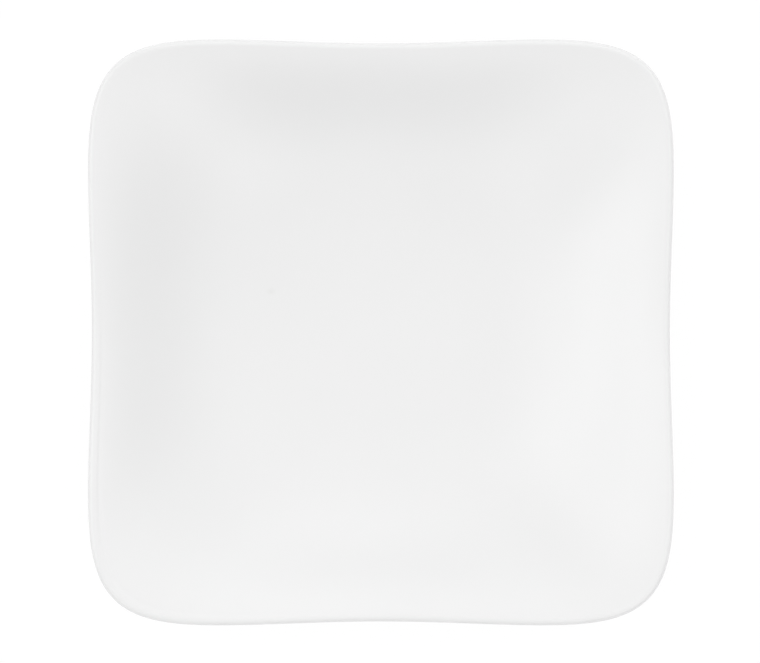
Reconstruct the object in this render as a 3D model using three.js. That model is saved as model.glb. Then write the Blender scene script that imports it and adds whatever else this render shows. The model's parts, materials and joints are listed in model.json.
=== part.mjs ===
// A square dish of white glazed porcelain. Its well is rounded and opens into a square lip with raised,
// rounded corners and drawn-in sides. It stands on a foot ring whose standing face is bare of glaze.
import * as THREE from "three";
import { mergeVertices } from "three/addons/utils/BufferGeometryUtils.js";

// Outline, in millimetres
const sideSpan = 246.3; // over the glazed lip, between the middles of opposite sides
const sideDrawIn = 2.1; // how far the middle of each side is drawn in from a plain superellipse
const lipSquareness = 7.4; // exponent of the superellipse that the lip follows
const wellSquareness = 3.2; // the same in the well, where 2 would be a circle
const squaringDelay = 7; // the larger, the nearer the lip the well turns square and draws in

// Section through the middle of a side
const dishHeight = 35; // from the table to the top of the lip at the middle of a side
const cornerRise = 4.5; // how much higher the lip lies at the corners
const wallThickness = 3.8; // fired body, the same all over
const glazeThickness = 0.3;
const wellFlatRadius = 40; // flat middle of the well
const wellCurveReach = 84; // where the tangent of the flat meets the start of the wall
const lipTilt = 16; // slope of the wall where it meets the lip, in degrees
const flareDrop = 6.3; // height over which the tangent there runs

// Foot ring
const baseClearance = 2.6; // from the table to the glazed base, at the middle
const footSpan = 141; // over the superellipse that the standing face's outer edge follows
const footLand = 4; // width of the standing face
const footChamfer = 0.5; // broken edges of the standing face
const footDraft = 0.6; // how far each side of the ring leans back over its height
const footFillet = 2.5; // round between the ring and the dish
const bareBand = 1.2; // height up to which the ring is wiped free of glaze

// Fineness of the facets
const segments = 56; // around
const cornerCrowding = 0.45; // 0 spaces them evenly, towards 1 they crowd at the corners
const wallSteps = 10; // along the upper side of the wall
const underSteps = 8; // along its underside, from the lip to the foot ring
const baseSteps = 3; // from the foot ring to the flat middle of the base
const lipSteps = 6; // around the lip's half circle
const filletSteps = 3;
const tinyStep = 1e-4; // for slopes taken as small differences
const halvings = 40; // when a place on the wall's curve is searched for

// Heights and reaches of the fired body that follow from the above
const bodyBase = baseClearance + glazeThickness;
const bodyFloor = bodyBase + wallThickness;
const lipRadius = wallThickness / 2;
const tilt = THREE.MathUtils.degToRad(lipTilt);
const bodyDepth = dishHeight - glazeThickness - lipRadius * (1 - Math.cos(tilt)) - bodyFloor;
const lipReach = sideSpan / 2 + sideDrawIn - glazeThickness - lipRadius * (1 + Math.sin(tilt));
const flareReach = lipReach - flareDrop / Math.tan(tilt);

// The wall in section: flat out of the well, steepest past its middle, easing off to the lip
const wallCurve = new THREE.CubicBezierCurve(
  new THREE.Vector2(wellFlatRadius, 0),
  new THREE.Vector2(wellCurveReach, 0),
  new THREE.Vector2(flareReach, bodyDepth - flareDrop),
  new THREE.Vector2(lipReach, bodyDepth),
);

const angles = Array.from({ length: segments }, (_, index) => {
  const turn = (2 * Math.PI * index) / segments;
  return turn + (cornerCrowding * Math.sin(4 * turn)) / 4;
});

// Point of the level line with a given reach: a superellipse that squares up and draws in towards the lip
function levelPoint(reach, angle, height) {
  const squaring = (reach / lipReach) ** squaringDelay;
  const squareness = THREE.MathUtils.lerp(wellSquareness, lipSquareness, squaring);
  const sum = Math.abs(Math.cos(angle)) ** squareness + Math.abs(Math.sin(angle)) ** squareness;
  const drawIn = sideDrawIn * squaring * Math.cos(2 * angle) ** 2;
  const radius = reach * sum ** (-1 / squareness) - drawIn;
  return new THREE.Vector3(radius * Math.cos(angle), radius * Math.sin(angle), height);
}

function ring(makePoint) {
  return angles.map(makePoint);
}

// Point of the body's upper face, at a place along the wall's curve from 0 in the well to 1 at the lip
function upperPoint(along, angle) {
  const section = wallCurve.getPoint(along);
  const rise = cornerRise * (section.y / bodyDepth) * Math.sin(2 * angle) ** 2;
  return levelPoint(section.x, angle, bodyFloor + section.y + rise);
}

// Directions at that point: up off the face, and out across the lip
function upperDirections(along, angle) {
  const outward = upperPoint(along + tinyStep, angle).sub(upperPoint(along - tinyStep, angle));
  const around = upperPoint(along, angle + tinyStep).sub(upperPoint(along, angle - tinyStep));
  const up = outward.cross(around).normalize();
  const out = around.clone().cross(up).normalize();
  return { up, out };
}

function upperRing(along) {
  return ring((angle) => upperPoint(along, angle));
}

// The underside lies one wall thickness below the upper face, square to it
function underRing(along) {
  return ring((angle) => {
    const { up } = upperDirections(along, angle);
    return upperPoint(along, angle).addScaledVector(up, -wallThickness);
  });
}

// The lip is a half circle that joins the two faces
function lipRing(turn) {
  return ring((angle) => {
    const { up, out } = upperDirections(1, angle);
    const centre = upperPoint(1, angle).addScaledVector(up, -lipRadius);
    return centre
      .addScaledVector(up, lipRadius * Math.cos(turn))
      .addScaledVector(out, lipRadius * Math.sin(turn));
  });
}

// Place along the wall's curve where it has a given reach
function alongAt(reach) {
  let low = 0;
  let high = 1;
  for (let step = 0; step < halvings; step += 1) {
    const middle = (low + high) / 2;
    if (wallCurve.getPoint(middle).x < reach) {
      low = middle;
    } else {
      high = middle;
    }
  }
  return low;
}

function evenSteps(from, to, count) {
  return Array.from({ length: count + 1 }, (_, step) => from + ((to - from) * step) / count);
}

// Rounds the inner corner between the underside and a side of the foot ring
function filletRings(underside, side) {
  return evenSteps(0, 1, filletSteps)
    .slice(1, -1)
    .map((share) =>
      underside.map((start, index) => {
        const end = side[index];
        const corner = new THREE.Vector3(end.x, end.y, start.z);
        return new THREE.QuadraticBezierCurve3(start, corner, end).getPoint(share);
      }),
    );
}

// One side of the foot ring, from the underside down to the standing face. The side faces outwards
// where sign is 1 and the middle where it is -1.
function footSide(landReach, sign) {
  const foot = landReach + sign * footChamfer;
  const start = alongAt(foot + sign * (footDraft + footFillet));
  const underside = underRing(start);
  const sideTop = underside.map(({ z }, index) =>
    levelPoint(foot + sign * footDraft, angles[index], z - footFillet),
  );
  const bareEdge = ring((angle) => levelPoint(foot, angle, bareBand));
  const chamferTop = ring((angle) => levelPoint(foot, angle, footChamfer));
  const landEdge = ring((angle) => levelPoint(landReach, angle, 0));
  return {
    start,
    glazed: [underside, ...filletRings(underside, sideTop), sideTop, bareEdge],
    bare: [chamferTop, landEdge],
  };
}

const landOuterReach = footSpan / 2;
const landInnerReach = landOuterReach - footLand;
const footOutside = footSide(landOuterReach, 1);
const footInside = footSide(landInnerReach, -1);

// Rings of the fired body in order, from the well over the lip and under the dish to the base
const coatedRings = [
  ...evenSteps(0, 1, wallSteps).map(upperRing),
  ...evenSteps(0, Math.PI, lipSteps).slice(1).map(lipRing),
  ...evenSteps(1, footOutside.start, underSteps).slice(1, -1).map(underRing),
  ...footOutside.glazed,
];
const bareRings = [...footOutside.bare, ...footInside.bare.toReversed()];
const baseRings = [
  ...footInside.glazed.toReversed(),
  ...evenSteps(footInside.start, 0, baseSteps).slice(1).map(underRing),
];

// Triangles from one ring to the next
function band(ringA, ringB) {
  return ringA.flatMap((a, index) => {
    const next = (index + 1) % segments;
    const b = ringB[index];
    return [a, b, ringB[next], a, ringB[next], ringA[next]];
  });
}

function bands(rings) {
  return rings.slice(1).flatMap((lower, index) => band(rings[index], lower));
}

// Triangles from a ring to the middle, facing up
function cap(rim, height) {
  const middle = new THREE.Vector3(0, 0, height);
  return rim.flatMap((point, index) => [middle, point, rim[(index + 1) % segments]]);
}

// The same rings, one glaze thickness out from the body
function glazedRings(rings) {
  return rings.map((current, index) => {
    const before = rings[Math.max(index - 1, 0)];
    const after = rings[Math.min(index + 1, rings.length - 1)];
    return current.map((point, place) => {
      const outward = after[place].clone().sub(before[place]);
      const next = current[(place + 1) % segments];
      const around = next.clone().sub(current[(place + segments - 1) % segments]);
      return point.clone().addScaledVector(outward.cross(around).normalize(), glazeThickness);
    });
  });
}

function mesh(name, triangles, material) {
  const geometry = mergeVertices(new THREE.BufferGeometry().setFromPoints(triangles));
  geometry.computeVertexNormals();
  const part = new THREE.Mesh(geometry, material);
  part.name = name;
  return part;
}

// The fired body shows only at the foot ring's standing face
function porcelainBody() {
  const triangles = [
    ...cap(coatedRings[0], bodyFloor),
    ...bands([...coatedRings, ...bareRings, ...baseRings]),
    ...cap(baseRings.at(-1), bodyBase).toReversed(),
  ];
  const bisque = new THREE.MeshStandardMaterial({ color: 0xe8e4da, roughness: 0.75, metalness: 0 });
  return mesh("porcelain_body", triangles, bisque);
}

// Glaze over the well, the lip and the underside, down to the bare band of the foot ring
function glazeCoat(glaze) {
  const outer = glazedRings(coatedRings);
  const triangles = [
    ...cap(outer[0], bodyFloor + glazeThickness),
    ...bands([...outer, coatedRings.at(-1)]),
    ...bands(coatedRings).toReversed(),
    ...cap(coatedRings[0], bodyFloor).toReversed(),
  ];
  return mesh("glaze_coat", triangles, glaze);
}

// Glaze on the base inside the foot ring
function baseGlaze(glaze) {
  const outer = glazedRings(baseRings);
  const triangles = [
    ...bands([baseRings[0], ...outer]),
    ...cap(outer.at(-1), baseClearance).toReversed(),
    ...cap(baseRings.at(-1), bodyBase),
    ...bands(baseRings).toReversed(),
  ];
  return mesh("base_glaze", triangles, glaze);
}

const whiteGlaze = new THREE.MeshStandardMaterial({ color: 0xf3f3f1, roughness: 0.12, metalness: 0 });
const squareDish = new THREE.Group();
squareDish.add(porcelainBody(), glazeCoat(whiteGlaze), baseGlaze(whiteGlaze));

export default squareDish;
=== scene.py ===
import json
import math

import bpy
import numpy as np
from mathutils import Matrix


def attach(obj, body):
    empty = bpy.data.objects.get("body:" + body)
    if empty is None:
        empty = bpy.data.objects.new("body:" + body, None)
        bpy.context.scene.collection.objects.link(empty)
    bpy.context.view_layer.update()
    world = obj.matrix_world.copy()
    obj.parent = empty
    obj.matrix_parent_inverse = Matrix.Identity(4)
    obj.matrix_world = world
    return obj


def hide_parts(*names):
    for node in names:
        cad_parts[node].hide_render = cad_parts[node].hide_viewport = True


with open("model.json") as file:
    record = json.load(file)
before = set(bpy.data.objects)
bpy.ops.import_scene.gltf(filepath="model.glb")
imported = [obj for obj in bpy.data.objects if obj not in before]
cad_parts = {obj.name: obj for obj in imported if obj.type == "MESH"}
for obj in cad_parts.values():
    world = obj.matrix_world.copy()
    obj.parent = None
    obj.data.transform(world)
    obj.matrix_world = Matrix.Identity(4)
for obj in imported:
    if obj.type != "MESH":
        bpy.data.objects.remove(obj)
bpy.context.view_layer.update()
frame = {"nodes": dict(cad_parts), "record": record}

mounts = {mount["name"]: mount for mount in frame["record"]["mounts"]}
print("frame loaded with", ", ".join(sorted(frame["nodes"])))

# sizes of the dish in metres, heights and spans measured over the glaze
dish = {
    "floorTop": mounts["well_floor"]["pos_m"][2],
    "sideTop": 0.035,           # top of the lip at the middle of a side
    "cornerRise": 0.0045,       # how much higher the lip lies at the corners
    "sideSpan": 0.2463,         # between the middles of opposite sides
    "sideDrawIn": 0.0021,       # dent at the middle of each side
    "lipSquareness": 7.4,       # superellipse exponent at the lip
    "wellSquareness": 3.2,      # and in the well
    "squaringDelay": 7,         # how late the round well turns square
    "wall": 0.0038,             # the body alone
    "glaze": 0.0003,
    "wellFlat": 0.040,          # radius of the flat middle
    "wellCurve": 0.084,         # where the tangent of the flat meets the start of the wall
    "lipTilt": 16,              # slope of the wall where it meets the lip, in degrees
    "flareDrop": 0.0063,        # height over which the tangent there runs
}
lipRadius = dish["wall"] / 2
lipTilt = math.radians(dish["lipTilt"])
bodyFloor = dish["floorTop"] - dish["glaze"]
bodyDepth = dish["sideTop"] - dish["glaze"] - lipRadius * (1 - math.cos(lipTilt)) - bodyFloor
lipReach = dish["sideSpan"] / 2 + dish["sideDrawIn"] - dish["glaze"] - lipRadius * (1 + math.sin(lipTilt))
flareReach = lipReach - dish["flareDrop"] / math.tan(lipTilt)

# foot ring, in metres
foot = {
    "span": 0.141,              # outer edge of the standing face
    "land": 0.004,              # width of the standing face
    "edgeRound": 0.0005,        # at both edges of the standing face
    "draft": 0.0006,            # lean of its sides
    "fillet": 0.0025,           # round against the dish
    "bareBand": 0.0012,         # wiped free of glaze up to here
    "wipeWobble": 0.00018,      # unevenness of the wiped edge
    "wipeWaves": [              # its waves: count round the ring, share, shift, shift by side
        (5, 1.0, 0, 1),
        (11, 0.6, 2, 0),
        (23, 0.4, 0, 4),
    ],
}

# faint roll in the glaze just inside the lip, on one side of the dish
lipRoll = {
    "depth": 0.00008,
    "inset": 0.0012,            # from the line where the wall meets the lip
    "width": 0.0006,
    "bearing": 206,             # where it is strongest, in degrees from +X
    "spread": 32,
    "fineZone": 0.0045,         # width of wall that is cut finer for it
}

# how finely the surfaces are cut
fineness = {
    "columns": 320,             # round the dish
    "crowding": 0.35,           # how much closer together they lie at the corners
    "floor": 7,                 # rows in each stretch, from the middle outwards
    "wall": 42,
    "rim": 20,
    "lip": 28,
    "under": 36,
    "fillet": 9,
    "side": 6,
    "bead": 5,
    "rounding": 5,
    "lookup": 4001,             # steps in the search along the wall
    "tiny": 1e-5,               # step that slopes are taken over
}

turns = np.linspace(0, 2 * math.pi, fineness["columns"], endpoint=False)
angles = (turns + fineness["crowding"] * np.sin(4 * turns) / 4)[None, :]   # closer together at the corners


# superellipse that grows squarer towards the lip, less a dent at the middle of each side
def levelLine(reach, angle):
    squaring = (reach / lipReach) ** dish["squaringDelay"]
    exponent = dish["wellSquareness"] + (dish["lipSquareness"] - dish["wellSquareness"]) * squaring
    total = np.abs(np.cos(angle)) ** exponent + np.abs(np.sin(angle)) ** exponent
    radius = reach * total ** (-1 / exponent) - dish["sideDrawIn"] * squaring * np.cos(2 * angle) ** 2
    return radius * np.cos(angle), radius * np.sin(angle)


# cubic Bezier in section, flat out of the well and flaring to the lip
def wallSection(along):
    left = 1 - along
    weights = np.stack([left ** 3, 3 * along * left ** 2, 3 * along ** 2 * left, along ** 3])
    reach = np.tensordot([dish["wellFlat"], dish["wellCurve"], flareReach, lipReach], weights, 1)
    rise = np.tensordot([0, 0, bodyDepth - dish["flareDrop"], bodyDepth], weights, 1)
    return reach, rise


# place along the wall, from 0 to 1, where the section reaches this far out
def alongAt(reach):
    along = np.linspace(0, 1, fineness["lookup"])
    return float(np.interp(reach, wallSection(along)[0], along))


# upper face of the body: the section swept along its level lines, higher at the corners
def upperFace(along, angle):
    reach, rise = wallSection(along)
    x, y = levelLine(reach, angle)
    z = bodyFloor + rise + dish["cornerRise"] * rise / bodyDepth * np.sin(2 * angle) ** 2
    return np.stack(np.broadcast_arrays(x, y, z), axis=-1)


# vectors over their lengths
def unit(vectors):
    return vectors / np.linalg.norm(vectors, axis=-1, keepdims=True)


# up off the upper face, and out across the lip, from small differences
def faceDirections(along, angle):
    tiny = fineness["tiny"]
    outward = upperFace(along + tiny, angle) - upperFace(along - tiny, angle)
    around = upperFace(along, angle + tiny) - upperFace(along, angle - tiny)
    up = unit(np.cross(outward, around))
    return up, unit(np.cross(around, up))


# flat middle of the well or the base, without its centre point
def middleRows(height):
    reach = np.linspace(0, dish["wellFlat"], fineness["floor"])[1:-1, None]
    x, y = levelLine(reach, angles)
    return np.stack([x, y, np.full_like(x, height)], axis=-1)


# minus u times e to the (1 - u squared) / 2, where u is the distance inside the roll's line over its width,
# fading round the dish as e to the (cosine - 1) / (1 - cosine of spread)
def rollHeight(inside):
    u = (inside - lipRoll["inset"]) / lipRoll["width"]
    cosine = np.cos(angles - math.radians(lipRoll["bearing"]))
    share = np.exp((cosine - 1) / (1 - math.cos(math.radians(lipRoll["spread"]))))
    return (-lipRoll["depth"] * share * u * np.exp((1 - u ** 2) / 2))[..., None]


# from the flat of the well to the lip, finer along the rim; only the glaze's own face has the roll
def upperRows(lift):
    rim = alongAt(lipReach - lipRoll["fineZone"])
    wall = np.linspace(0, rim, fineness["wall"], endpoint=False)
    along = np.concatenate([wall, np.linspace(rim, 1, fineness["rim"])])[:, None]
    roll = rollHeight(lipReach - wallSection(along)[0]) if lift else 0
    return upperFace(along, angles) + (lift + roll) * faceDirections(along, angles)[0]


# half circle from the upper face to the underside, which the roll fades out on
def lipRows(lift):
    turn = np.linspace(0, math.pi, fineness["lip"])[1:-1, None, None]
    up, out = faceDirections(np.ones((1, 1)), angles)
    centre = upperFace(np.ones((1, 1)), angles) - lipRadius * up
    roll = rollHeight(-lipRadius * turn[..., 0]) if lift else 0
    return centre + (lipRadius + lift + roll) * (np.cos(turn) * up + np.sin(turn) * out)


# one wall thickness below the upper face, square to it
def underRows(start, end, count, lift):
    along = np.linspace(start, end, count)[:, None]
    return upperFace(along, angles) - (dish["wall"] + lift) * faceDirections(along, angles)[0]


# level lines at the given reaches and heights
def ringAt(reach, height):
    x, y = levelLine(np.reshape(reach, (-1, 1)), angles)
    return np.stack(np.broadcast_arrays(x, y, height), axis=-1)


# one side of the foot ring: a round off the underside, then the leaning side down to the wiped edge,
# which rises and falls by a sum of sine waves
def footRows(side, lift):
    landReach = foot["span"] / 2 - (foot["land"] if side < 0 else 0)
    edge = landReach + side * foot["edgeRound"]
    start = alongAt(edge + side * (foot["draft"] + foot["fillet"]))
    underside = underRows(start, start, 1, lift)
    wobble = 0
    for count, share, shift, shiftBySide in foot["wipeWaves"]:
        wobble = wobble + share * np.sin(count * angles + shift + side * shiftBySide)
    sideTop = ringAt(edge + side * (foot["draft"] + lift), underside[..., 2] - foot["fillet"])
    sideFoot = ringAt(edge + side * lift, foot["bareBand"] + foot["wipeWobble"] * wobble)
    corner = np.concatenate([sideTop[..., :2], underside[..., 2:]], axis=-1)
    share = np.linspace(0, 1, fineness["fillet"])[:, None, None]
    fillet = (1 - share) ** 2 * underside + 2 * share * (1 - share) * corner + share ** 2 * sideTop
    share = np.linspace(0, 1, fineness["side"])[1:, None, None]
    return start, np.concatenate([fillet, sideTop + share * (sideFoot - sideTop)])


# rounded edge where the glaze ends on the foot ring: half a cosine wave across, half a sine wave down
def beadRows(outer, inner):
    share = np.linspace(0, 1, fineness["bead"])[1:-1, None, None]
    drop = np.zeros(3)
    drop[2] = dish["glaze"] / 2
    return outer + (inner - outer) * (1 - np.cos(math.pi * share)) / 2 - np.sin(math.pi * share) * drop


# all rows from the middle of the well, over the lip and down to the wiped edge of the foot ring
def outsideRows(lift):
    start, footSide = footRows(1, lift)
    return np.concatenate([middleRows(bodyFloor + lift), upperRows(lift), lipRows(lift),
                           underRows(1, start, fineness["under"], lift)[:-1], footSide])


# all rows from the middle of the base to the wiped edge inside the foot ring
def insideRows(lift):
    start, footSide = footRows(-1, lift)
    base = middleRows(bodyFloor - dish["wall"] - lift)
    return np.concatenate([base, underRows(0, start, fineness["under"] // 2, lift)[:-1], footSide])


# closed skin through rows of points, with a centre point at both ends
def skinObject(name, rows, firstHeight, lastHeight):
    count, columns = rows.shape[:2]
    points = np.concatenate([rows.reshape(-1, 3), [[0, 0, firstHeight], [0, 0, lastHeight]]])
    index = np.arange(count * columns).reshape(count, columns)
    after = np.roll(index, -1, axis=1)
    quads = np.stack([index[:-1], index[1:], after[1:], after[:-1]], axis=-1).reshape(-1, 4)
    first = np.stack([np.full(columns, count * columns), index[0], after[0]], axis=-1)
    last = np.stack([np.full(columns, count * columns + 1), after[-1], index[-1]], axis=-1)
    caps = np.concatenate([first, last])
    corners = np.concatenate([quads.ravel(), caps.ravel()])
    starts = np.concatenate([np.arange(len(quads)) * 4, quads.size + np.arange(len(caps)) * 3])
    mesh = bpy.data.meshes.new(name)
    mesh.vertices.add(len(points))
    mesh.vertices.foreach_set("co", points.astype(np.float32).ravel())
    mesh.loops.add(len(corners))
    mesh.loops.foreach_set("vertex_index", corners.astype(np.int32))
    mesh.polygons.add(len(starts))
    mesh.polygons.foreach_set("loop_start", starts.astype(np.int32))
    mesh.update(calc_edges=True)
    mesh.validate()
    mesh.shade_smooth()
    piece = bpy.data.objects.new(name, mesh)
    bpy.context.scene.collection.objects.link(piece)
    print(name, "has", len(starts), "faces")
    return piece


# glaze over the well, lip and underside: out on its own face, back along the body
def makeGlaze():
    outer, inner = outsideRows(dish["glaze"]), outsideRows(0)
    rows = np.concatenate([outer, beadRows(outer[-1:], inner[-1:]), inner[::-1]])
    return skinObject("dish_glaze", rows, dish["floorTop"], bodyFloor)


# glaze on the base: out along the body, back on its own face
def makeBaseGlaze():
    outer, inner = insideRows(dish["glaze"]), insideRows(0)
    rows = np.concatenate([inner, beadRows(outer[-1:], inner[-1:])[::-1], outer[::-1]])
    bodyBase = bodyFloor - dish["wall"]
    return skinObject("dish_base_glaze", rows, bodyBase, bodyBase - dish["glaze"])


# the fired body, its standing face rounded over, by quarter circles, to the two wiped edges
def makeBisque():
    outerLand, innerLand = foot["span"] / 2, foot["span"] / 2 - foot["land"]
    turn = np.linspace(0, math.pi / 2, fineness["rounding"])
    outward, height = foot["edgeRound"] * np.cos(turn), foot["edgeRound"] * (1 - np.sin(turn))
    standing = np.concatenate([ringAt((outerLand + outward)[:, None], height[:, None]),
                               ringAt((innerLand - outward[::-1])[:, None], height[::-1, None])])
    rows = np.concatenate([outsideRows(0), standing, insideRows(0)[::-1]])
    return skinObject("dish_bisque", rows, bodyFloor, bodyFloor - dish["wall"])


glazePiece, basePiece, bisquePiece = makeGlaze(), makeBaseGlaze(), makeBisque()


# one output of a shader node; sums on it add Math nodes
class Wire:
    def __init__(self, tree, socket=None):
        self.tree, self.socket = tree, socket

    # adds any node: its settings first, then the values or links of its sockets
    def node(self, kind, settings=None, sockets=None, output=0):
        made = self.tree.nodes.new(kind)
        for key, value in (settings or {}).items():
            setattr(made, key, value)
        for key, value in (sockets or {}).items():
            if isinstance(value, Wire):
                self.tree.links.new(value.socket, made.inputs[key])
            else:
                made.inputs[key].default_value = value
        return Wire(self.tree, made.outputs[output])

    def math(self, operation, first, second=0.0):
        return self.node("ShaderNodeMath", {"operation": operation}, {0: first, 1: second})

    def __add__(self, other):
        return self.math("ADD", self, other)

    def __sub__(self, other):
        return self.math("SUBTRACT", self, other)

    def __mul__(self, other):
        return self.math("MULTIPLY", self, other)

    def __radd__(self, other):
        return self.math("ADD", other, self)

    def __rsub__(self, other):
        return self.math("SUBTRACT", other, self)

    def __rmul__(self, other):
        return self.math("MULTIPLY", other, self)

    def vectorMath(self, operation, second=(0, 0, 0), output=0):
        return self.node("ShaderNodeVectorMath", {"operation": operation}, {0: self, 1: second}, output)

    # 0 below low, 1 above high, smooth between
    def fade(self, low, high):
        return self.node("ShaderNodeMapRange", {"interpolation_type": "SMOOTHSTEP"},
                         {"Value": self, "From Min": low, "From Max": high})

    def noise(self, scale, detail, rough=0.5):
        return self.node("ShaderNodeTexNoise", None,
                         {"Vector": self, "Scale": scale, "Detail": detail, "Roughness": rough})

    def mix(self, first, second):
        return self.node("ShaderNodeMix", {"data_type": "RGBA"}, {0: self, 6: first, 7: second}, output=2)

    # bends the light as a height in metres would
    def bump(self, strength):
        return self.node("ShaderNodeBump", None, {"Height": self, "Distance": 1.0, "Strength": strength})

    # 1 for light rays of one kind, 0 for the rest
    def ray(self, kind):
        return self.node("ShaderNodeLightPath", output="Is " + kind + " Ray")

    def feed(self, node, name):
        self.tree.links.new(self.socket, node.inputs[name])


# a new material, its shader, and a wire to start its nodes from
def startMaterial(name):
    material = bpy.data.materials.new(name)
    material.use_nodes = True
    tree = material.node_tree
    return material, tree.nodes["Principled BSDF"], Wire(tree)


# glassy white coat: faint mottling, a kiln speck, a slow ripple and fine orange peel;
# each noise has its scale and detail, lengths are in metres
def whiteGlaze():
    look = {
        "pale": (0.866, 0.866, 0.866, 1),
        "deep": (0.861, 0.861, 0.861, 1),
        "mottle": (16, 3),
        "mottleFade": (0.35, 0.65),
        "speck": (0.83, 0.83, 0.827, 1),
        "speckPlace": (-0.0479, 0.0178, 0.0073),
        "speckHalf": (0.0028, 0.0021, 0.0021),
        "roughnessPatches": (40, 4),
        "roughness": 0.075,
        "roughnessRange": 0.05,
        "ripple": (22, 1),
        "rippleDepth": 0.00004,
        "peel": (420, 2),
        "peelDepth": 0.000004,
        "bumpStrength": 1.0,
        "ior": 1.52,
    }
    material, shader, start = startMaterial("white_glaze")
    place = start.node("ShaderNodeTexCoord", output="Object")
    tone = place.noise(*look["mottle"]).fade(*look["mottleFade"]).mix(look["pale"], look["deep"])
    offset = place.vectorMath("SUBTRACT", look["speckPlace"])
    away = offset.vectorMath("DIVIDE", look["speckHalf"]).vectorMath("LENGTH", output=1)
    away.fade(0, 1).mix(look["speck"], tone).feed(shader, "Base Color")
    roughness = place.noise(*look["roughnessPatches"]) * look["roughnessRange"] + look["roughness"]
    roughness.feed(shader, "Roughness")
    ripple = place.noise(*look["ripple"]) * look["rippleDepth"]
    peel = place.noise(*look["peel"]) * look["peelDepth"]
    (ripple + peel).bump(look["bumpStrength"]).feed(shader, "Normal")
    shader.inputs["IOR"].default_value = look["ior"]
    return material


# bare fired porcelain: matt, grainy, rubbed a little grey where it stands;
# each noise has its scale, detail and roughness, lengths are in metres
def bareBisque():
    look = {
        "pale": (0.76, 0.735, 0.69, 1),
        "dark": (0.66, 0.635, 0.59, 1),
        "clay": (180, 6, 0.65),
        "clayFade": (0.3, 0.7),
        "rub": (0.42, 0.41, 0.4, 1),
        "rubPatches": (95, 5, 0.7),
        "rubFade": (0.58, 0.72),
        "rubShare": 0.35,
        "roughnessPatches": (300, 4, 0.5),
        "roughness": 0.65,
        "roughnessRange": 0.2,
        "grain": (1600, 4, 0.6),
        "grainDepth": 0.00003,
        "bumpStrength": 0.8,
    }
    material, shader, start = startMaterial("bisque")
    place = start.node("ShaderNodeTexCoord", output="Object")
    tone = place.noise(*look["clay"]).fade(*look["clayFade"]).mix(look["pale"], look["dark"])
    rub = place.noise(*look["rubPatches"]).fade(*look["rubFade"]) * look["rubShare"]
    rub.mix(tone, look["rub"]).feed(shader, "Base Color")
    roughness = place.noise(*look["roughnessPatches"]) * look["roughnessRange"] + look["roughness"]
    roughness.feed(shader, "Roughness")
    grain = place.noise(*look["grain"]) * look["grainDepth"]
    grain.bump(look["bumpStrength"]).feed(shader, "Normal")
    return material


glazeLook, bisqueLook = whiteGlaze(), bareBisque()
for piece, node, slot, look in ((glazePiece, "glaze_coat", "white_glaze", glazeLook),
                                (basePiece, "base_glaze", "white_glaze", glazeLook),
                                (bisquePiece, "porcelain_body", "bisque", bisqueLook)):
    piece.data.materials.append(look)
    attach(piece, "root")
    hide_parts(node)
print("pieces dressed")

# camera straight above, the image's top towards +Y
shot = {
    "imageWidth": 760,
    "imageHeight": 663,
    "centrePixel": (380.93, 332.41),    # where the middle of the dish lies in the image
    "sidePixels": 578.85,               # between the middles of opposite sides
    "distance": 1.2,                    # from the lip, in metres
    "sensor": 36,                       # width in millimetres
}
metresPerPixel = dish["sideSpan"] / shot["sidePixels"]
camera = bpy.data.objects.new("camera", bpy.data.cameras.new("camera"))
camera.location = ((shot["imageWidth"] / 2 - shot["centrePixel"][0]) * metresPerPixel,
                   (shot["centrePixel"][1] - shot["imageHeight"] / 2) * metresPerPixel,
                   dish["sideTop"] + shot["distance"])
camera.data.sensor_width = shot["sensor"]
camera.data.lens = shot["sensor"] * shot["distance"] / (shot["imageWidth"] * metresPerPixel)
bpy.context.scene.collection.objects.link(camera)
bpy.context.scene.camera = camera
print("camera set, lens", round(camera.data.lens, 1), "mm")

# plain white floor that keeps the dish's shadow
floorLook = {
    "size": 6.0,
    "colour": (0.95, 0.95, 0.95, 1),
    "roughness": 0.9,
    "specular": 0.0,
    "glow": 0.94,               # share of plain white in what the camera and reflections see
    "glowStrength": 1.015,
}


def makeFloor():
    half = floorLook["size"] / 2
    corners = [(-half, -half, 0), (half, -half, 0), (half, half, 0), (-half, half, 0)]
    mesh = bpy.data.meshes.new("floor")
    mesh.from_pydata(corners, [], [(0, 1, 2, 3)])
    floor = bpy.data.objects.new("floor", mesh)
    bpy.context.scene.collection.objects.link(floor)
    material, shader, start = startMaterial("floor_white")
    shader.inputs["Base Color"].default_value = floorLook["colour"]
    shader.inputs["Roughness"].default_value = floorLook["roughness"]
    shader.inputs["Specular IOR Level"].default_value = floorLook["specular"]
    seen = start.ray("Camera") + start.ray("Glossy") + start.ray("Transmission")
    lit = Wire(start.tree, shader.outputs[0])
    glow = start.node("ShaderNodeEmission", None, {"Strength": floorLook["glowStrength"]})
    surface = start.node("ShaderNodeMixShader", None, {0: seen * floorLook["glow"], 1: lit, 2: glow})
    surface.feed(start.tree.nodes["Material Output"], "Surface")
    mesh.materials.append(material)
    print("floor laid")


makeFloor()

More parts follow.
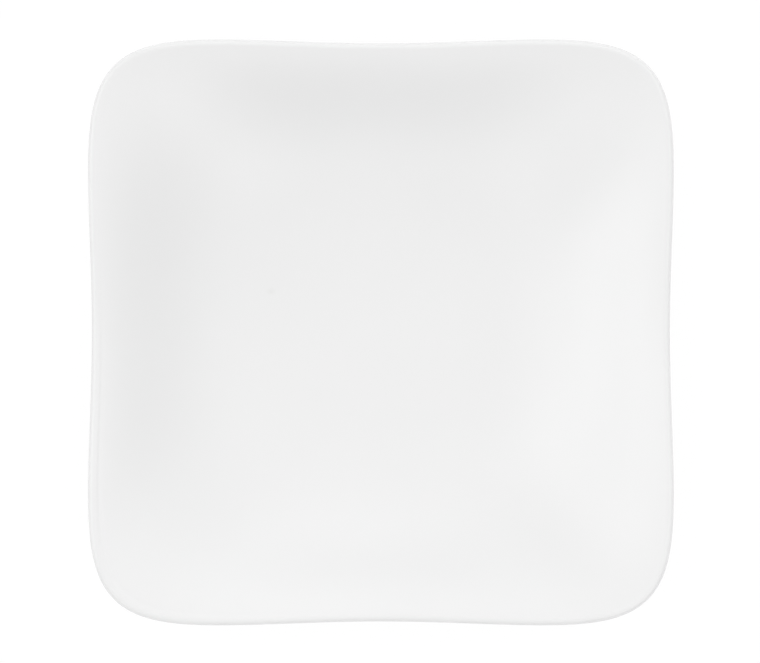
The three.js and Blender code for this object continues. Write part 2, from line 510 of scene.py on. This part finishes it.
# soft studio light: an even room with soft glows in it. Each glow has a tilt from straight above, a bearing
# from +X and a spread, all in degrees, and a brightness where white is 1. A thickness flattens it to a
# level band. The camera sees a white backdrop all round, and reflections see it low down.
room = {
    "colour": (1, 1, 1, 1),
    "brightness": 0.346,
    "backdrop": 1.0,            # as the camera sees it
    "mirrored": 0.8,            # as reflections see it
    "backdropTop": (0.06, 0.2),  # heights of a direction of length 1 that it ends between
}
glows = {
    "overhead": {"tilt": 29.5, "bearing": 15, "spread": 33, "brightness": 0.92},
    "leftHigh": {"tilt": 40.5, "bearing": 164, "spread": 23, "brightness": 1.41},
    "leftLow": {"tilt": 56.5, "bearing": -176, "spread": 12, "brightness": 1.28},
    "back": {"tilt": 46.5, "bearing": 85, "spread": 19, "brightness": 0.86},
    "fill": {"tilt": 41.5, "bearing": -58, "spread": 18, "brightness": 1.15},
    "frontLeft": {"tilt": 44, "bearing": -123, "spread": 21, "brightness": 0.96},
    "window": {"tilt": 87.5, "bearing": 49, "spread": 32, "brightness": 1.98, "thickness": 0.125},
    "backWall": {"tilt": 77.5, "bearing": 98, "spread": 49, "brightness": 1.98, "thickness": 0.066},
}


# fades from 1 along the glow's axis to nothing far from it, as e to the (cosine - 1) / (1 - cosine of
# spread), and in a band also as e to the minus square of the height off its axis over the thickness
def glowAlong(direction, height, glow):
    tilt, bearing = math.radians(glow["tilt"]), math.radians(glow["bearing"])
    axis = (math.sin(tilt) * math.cos(bearing), math.sin(tilt) * math.sin(bearing), math.cos(tilt))
    cosine = direction.vectorMath("DOT_PRODUCT", axis, output=1)
    power = (cosine - 1) * (1 / (1 - math.cos(math.radians(glow["spread"]))))
    if "thickness" in glow:
        offset = (height - axis[2]) * (1 / glow["thickness"])
        power = power - offset * offset
    return power.math("EXPONENT", power)


def lightRoom():
    world = bpy.data.worlds.new("room")
    bpy.context.scene.world = world
    world.use_nodes = True
    start = Wire(world.node_tree)
    direction = start.node("ShaderNodeTexCoord", output="Generated")
    height = start.node("ShaderNodeSeparateXYZ", None, {0: direction}, output=2)
    strength = room["brightness"]
    for glow in glows.values():
        strength = glowAlong(direction, height, glow) * glow["brightness"] + strength
    low = (start.ray("Glossy") + start.ray("Transmission")) * (1 - height.fade(*room["backdropTop"]))
    strength = strength + low * (room["mirrored"] - strength)
    strength = start.math("MAXIMUM", strength, start.ray("Camera") * room["backdrop"])
    background = world.node_tree.nodes["Background"]
    background.inputs["Color"].default_value = room["colour"]
    strength.feed(background, "Strength")


lightRoom()
bpy.context.scene.view_settings.view_transform = "Standard"
print("lights set")
